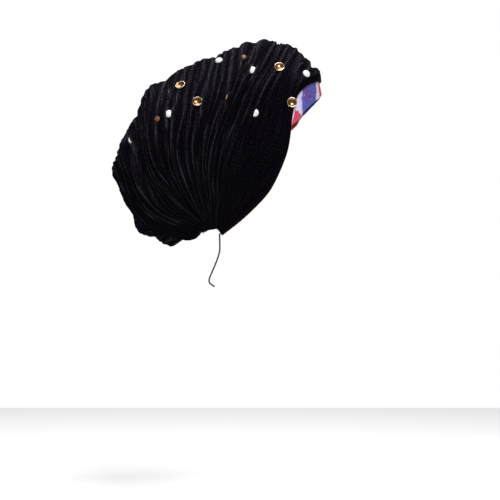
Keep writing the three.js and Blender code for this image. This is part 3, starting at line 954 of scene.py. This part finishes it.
def pearlProfile(spec):
    # a flat back, a small bevel and an elliptic dome, as (radius, height) from the axis to the axis
    angle = np.linspace(0, np.pi / 2, 18)
    rise = spec["edge"] + (spec["height"] - spec["edge"]) * np.sin(angle)
    dome = np.stack([spec["radius"] * np.cos(angle), rise], axis=-1)
    back = [(0, 0), (spec["radius"] - spec["bevel"], 0)]
    return np.concatenate([back, dome[:-1], [(0, spec["height"])]])


def giltProfile(spec):
    # a flat back, a bevel, an upright side, a half-round rim and a dish that rises by the square of
    # the radius
    angle = np.linspace(np.deg2rad(-20), np.deg2rad(200), 14)
    bead = (spec["radius"] - spec["dishRadius"]) / 2
    beadAt = (spec["dishRadius"] + bead, spec["rimHeight"] - bead)
    rim = np.stack([beadAt[0] + bead * np.cos(angle), beadAt[1] + bead * np.sin(angle)], axis=-1)
    r = np.linspace(spec["dishRadius"] - 0.25, 0, 16)
    dish = np.stack([r, mixed(spec["dishFloor"], spec["dishEdge"], (r / spec["dishRadius"]) ** 2)], axis=-1)
    back = [(0, 0), (spec["radius"] - spec["bevel"], 0), (spec["radius"], spec["edge"])]
    return np.concatenate([back, rim, dish])


def amberProfile(spec):
    # a flat back, an upright girdle, two rows of facets and a flat table
    radius, table, height = spec["radius"], spec["tableRadius"], spec["height"]
    bend = (mixed(radius, table, 0.38), mixed(spec["girdle"], height, 0.62))
    return np.array([(0, 0), (radius, 0), (radius, spec["girdle"]), bend, (table, height), (0, height)])


def turnedPiece(name, profile, sides, seat, material, smooth=True, twist=0.0):
    # the profile turned about the seat's axis; its first and last points are the two poles
    rings = profile[1:-1]
    angle = np.arange(sides) / sides * 2 * np.pi + twist
    axis = seat["axis"]
    first = unit(np.cross(axis, (0.3, 0.2, 1.0)))
    second = np.cross(axis, first)
    spoke = np.cos(angle)[:, None] * first + np.sin(angle)[:, None] * second
    points = seat["base"] + rings[:, None, :1] * spoke[None] + rings[:, None, 1:] * axis
    poles = seat["base"] + profile[[0, -1], 1][:, None] * axis
    count = len(rings) * sides
    faces = gridFaces(len(rings), sides, closedColumns=True)
    around = np.arange(sides)
    faces += np.stack([np.roll(around, -1), around, np.full(sides, count)], axis=-1).tolist()
    lastRing = count - sides + around
    faces += np.stack([lastRing, np.roll(lastRing, -1), np.full(sides, count + 1)], axis=-1).tolist()
    points = np.concatenate([points.reshape(-1, 3), poles]) * mm
    return makePiece(name, points, faces, material, smooth)


def cloudedMaterial(name, spec):
    # pearl or resin: one colour drifts into another between two levels of a noise in space
    material, nodes, links, shader = newMaterial(name, spec["finish"])
    place = nodes.new("ShaderNodeTexCoord")
    cloud = addNode(nodes, "ShaderNodeTexNoise", Scale=spec["cloudScale"], Detail=2.0)
    links.new(place.outputs["Object"], cloud.inputs["Vector"])
    stops = list(zip(spec["cloudLevels"], spec["colours"]))
    links.new(addRamp(nodes, links, cloud.outputs["Fac"], stops), shader.inputs["Base Color"])
    return material


def giltMaterial(spec):
    # gold-coloured metal: copper painted darker in the dish as painted shade, pale gold on the rim as a
    # painted highlight, with fine wear
    material, nodes, links, shader = newMaterial("gilt metal", spec["finish"])
    place = nodes.new("ShaderNodeTexCoord")
    wear = addNode(nodes, "ShaderNodeTexNoise", Scale=spec["wearScale"], Detail=3.0)
    links.new(place.outputs["Object"], wear.inputs["Vector"])
    rim = addNode(nodes, "ShaderNodeAttribute", {"attribute_name": "rim"}).outputs["Fac"]
    colour = addColourMix(nodes, links, rim, spec["shadedDishColour"], spec["litRimColour"])
    links.new(colour, shader.inputs["Base Color"])
    polished, worn = spec["wear"]
    levels = addNode(nodes, "ShaderNodeMapRange", To_Min=polished, To_Max=worn)
    links.new(wear.outputs["Fac"], levels.inputs["Value"])
    links.new(levels.outputs["Result"], shader.inputs["Roughness"])
    return material


def makeStuds(spec, seats):
    materials = {
        "pearl": cloudedMaterial("pearl", spec["pearl"]),
        "gilt": giltMaterial(spec["gilt"]),
        "amber": cloudedMaterial("amber resin", spec["amber"]),
    }
    profiles = {"pearl": pearlProfile, "gilt": giltProfile, "amber": amberProfile}
    for seat in seats:
        kind = seat["kind"]
        profile, sides = profiles[kind](spec[kind]), spec[kind]["sides"]
        piece = turnedPiece("set_" + seat["name"], profile, sides, seat, materials[kind],
                            smooth=kind != "amber", twist=seat["base"][0])
        if kind == "gilt":
            onRim = (profile[1:-1, 0] > spec[kind]["dishRadius"] - 0.1).astype(float)
            pointAttribute(piece, "rim", np.concatenate([np.repeat(onRim, sides), [0, 0]]))
        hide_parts(seat["name"])
        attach(piece, "root")


makeStuds(studSpec, seats)
print("studs made:", len(seats))

cordSpec = {
    "diameter": 2.0,
    "sides": 14,
    "steps": 110,
    "braidTurns": 3,
    "braidPitch": 3.4,
    "braidSwell": 0.05,  # as a share of the radius
    "tipLength": 0.8,
    # painted shade in the braid's hollows and painted light on its crests
    "shadedHollowColour": (0.004, 0.003, 0.003),
    "litCrestColour": (0.03, 0.022, 0.02),
    "finish": {"Roughness": 0.75, "Sheen Weight": 0.1},
    # from inside the hem's corner down to the cut tip, with the hem at the second point
    "route": [
        (-45.2, -46.9, -244.6),
        (-45.2, -47.2, -248.2),
        (-45.1, -47.4, -253),
        (-44.9, -47.5, -260),
        (-45.2, -47.3, -267.5),
        (-47.9, -46.6, -276.8),
        (-51.8, -45.6, -286.6),
        (-55.2, -44.6, -294.5),
        (-57.6, -43.9, -300.3),
        (-58.7, -43.4, -304.6),
        (-57.6, -43, -308),
        (-54.6, -42.7, -310.3),
        (-51.3, -42.4, -312.6),
    ],
}


def cordMaterial(spec):
    # black braided elastic: the braid's hollows are painted darker as shade, and its crests lighter as
    # painted light
    material, nodes, links, shader = newMaterial("black elastic", spec["finish"])
    braid = addNode(nodes, "ShaderNodeAttribute", {"attribute_name": "braid"}).outputs["Fac"]
    colour = addColourMix(nodes, links, braid, spec["shadedHollowColour"], spec["litCrestColour"])
    links.new(colour, shader.inputs["Base Color"])
    return material


def makeCord(spec):
    # a tube round a Catmull-Rom route, its radius swelling by the product of two opposite spirals,
    # and shrinking by a square root over the cut tip
    line = splineRows(spec["route"], np.linspace(0, len(spec["route"]) - 1, spec["steps"]))
    tangent = unit(np.gradient(line, axis=0))
    first = unit(np.cross(tangent, (0.1, 1.0, 0.05)))
    second = np.cross(tangent, first)
    run = np.concatenate([[0], np.cumsum(np.linalg.norm(np.diff(line, axis=0), axis=1))])
    angle = np.arange(spec["sides"]) / spec["sides"] * 2 * np.pi
    phase = run[:, None] / spec["braidPitch"] * 2 * np.pi
    crossing = np.cos(spec["braidTurns"] * angle + phase) * np.cos(spec["braidTurns"] * angle - phase)
    tip = np.sqrt(np.clip((run[-1] - run) / spec["tipLength"], 0.12, 1))[:, None]
    radius = spec["diameter"] / 2 * (1 + spec["braidSwell"] * crossing) * tip
    points = line[:, None] + radius[..., None] * (
        np.cos(angle)[None, :, None] * first[:, None] + np.sin(angle)[None, :, None] * second[:, None])
    sides, steps = spec["sides"], spec["steps"]
    faces = gridFaces(steps, sides, closedColumns=True)
    faces += [list(range(sides))[::-1], list(range((steps - 1) * sides, steps * sides))]
    piece = makePiece("drawCord", points * mm, faces, cordMaterial(spec))
    pointAttribute(piece, "braid", 0.5 + 0.5 * crossing)
    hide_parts("draw_cord")
    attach(piece, "root")


makeCord(cordSpec)
print("draw cord made")

stageSpec = {
    "floorZ": -0.62,
    "floorRadius": 1.6,
    "floorFinish": {"Base Color": (0.9, 0.9, 0.9, 1), "Roughness": 0.9},
    "evenLight": 0.35,
    "aim": (-0.05, 0, -0.12),  # what both lamps face
    # each lamp's place, size and power
    "lamps": {"key": ((0.4, -1.6, 1.5), 0.9, 60), "top": ((-0.3, 0.2, 1.8), 1.2, 40)},
}


def makeStage(spec):
    material = newMaterial("pale floor", spec["floorFinish"])[0]
    r = spec["floorRadius"]
    corners = np.array([(-r, -r), (r, -r), (r, r), (-r, r)])
    corners = np.column_stack([corners, np.full(4, spec["floorZ"])])
    floor = makePiece("floor", corners, [[0, 1, 2, 3]], material, smooth=False)


def makeLight(name, place, aim, size, power):
    lamp = bpy.data.lights.new(name, "AREA")
    lamp.size, lamp.energy = size, power
    holder = bpy.data.objects.new(name, lamp)
    holder.location = place
    direction = unit(np.array(place, float) - np.array(aim, float))
    yaw = math.atan2(direction[0], -direction[1])
    holder.rotation_euler = (math.acos(direction[2]), 0, yaw)
    scene.collection.objects.link(holder)


def makeWorld(spec):
    # white to the eye, and a dimmer even light on the object
    world = bpy.data.worlds.new("studio")
    scene.world = world
    world.use_nodes = True
    nodes, links = world.node_tree.nodes, world.node_tree.links
    path = nodes.new("ShaderNodeLightPath")
    strength = addNode(nodes, "ShaderNodeMapRange", To_Min=spec["evenLight"], To_Max=1.0)
    links.new(path.outputs["Is Camera Ray"], strength.inputs["Value"])
    nodes["Background"].inputs["Color"].default_value = (1, 1, 1, 1)
    links.new(strength.outputs["Result"], nodes["Background"].inputs["Strength"])


makeStage(stageSpec)
makeWorld(stageSpec)
for name, (place, size, power) in stageSpec["lamps"].items():
    makeLight(name, place, stageSpec["aim"], size, power)
scene.view_settings.view_transform = "Standard"
print("stage set")
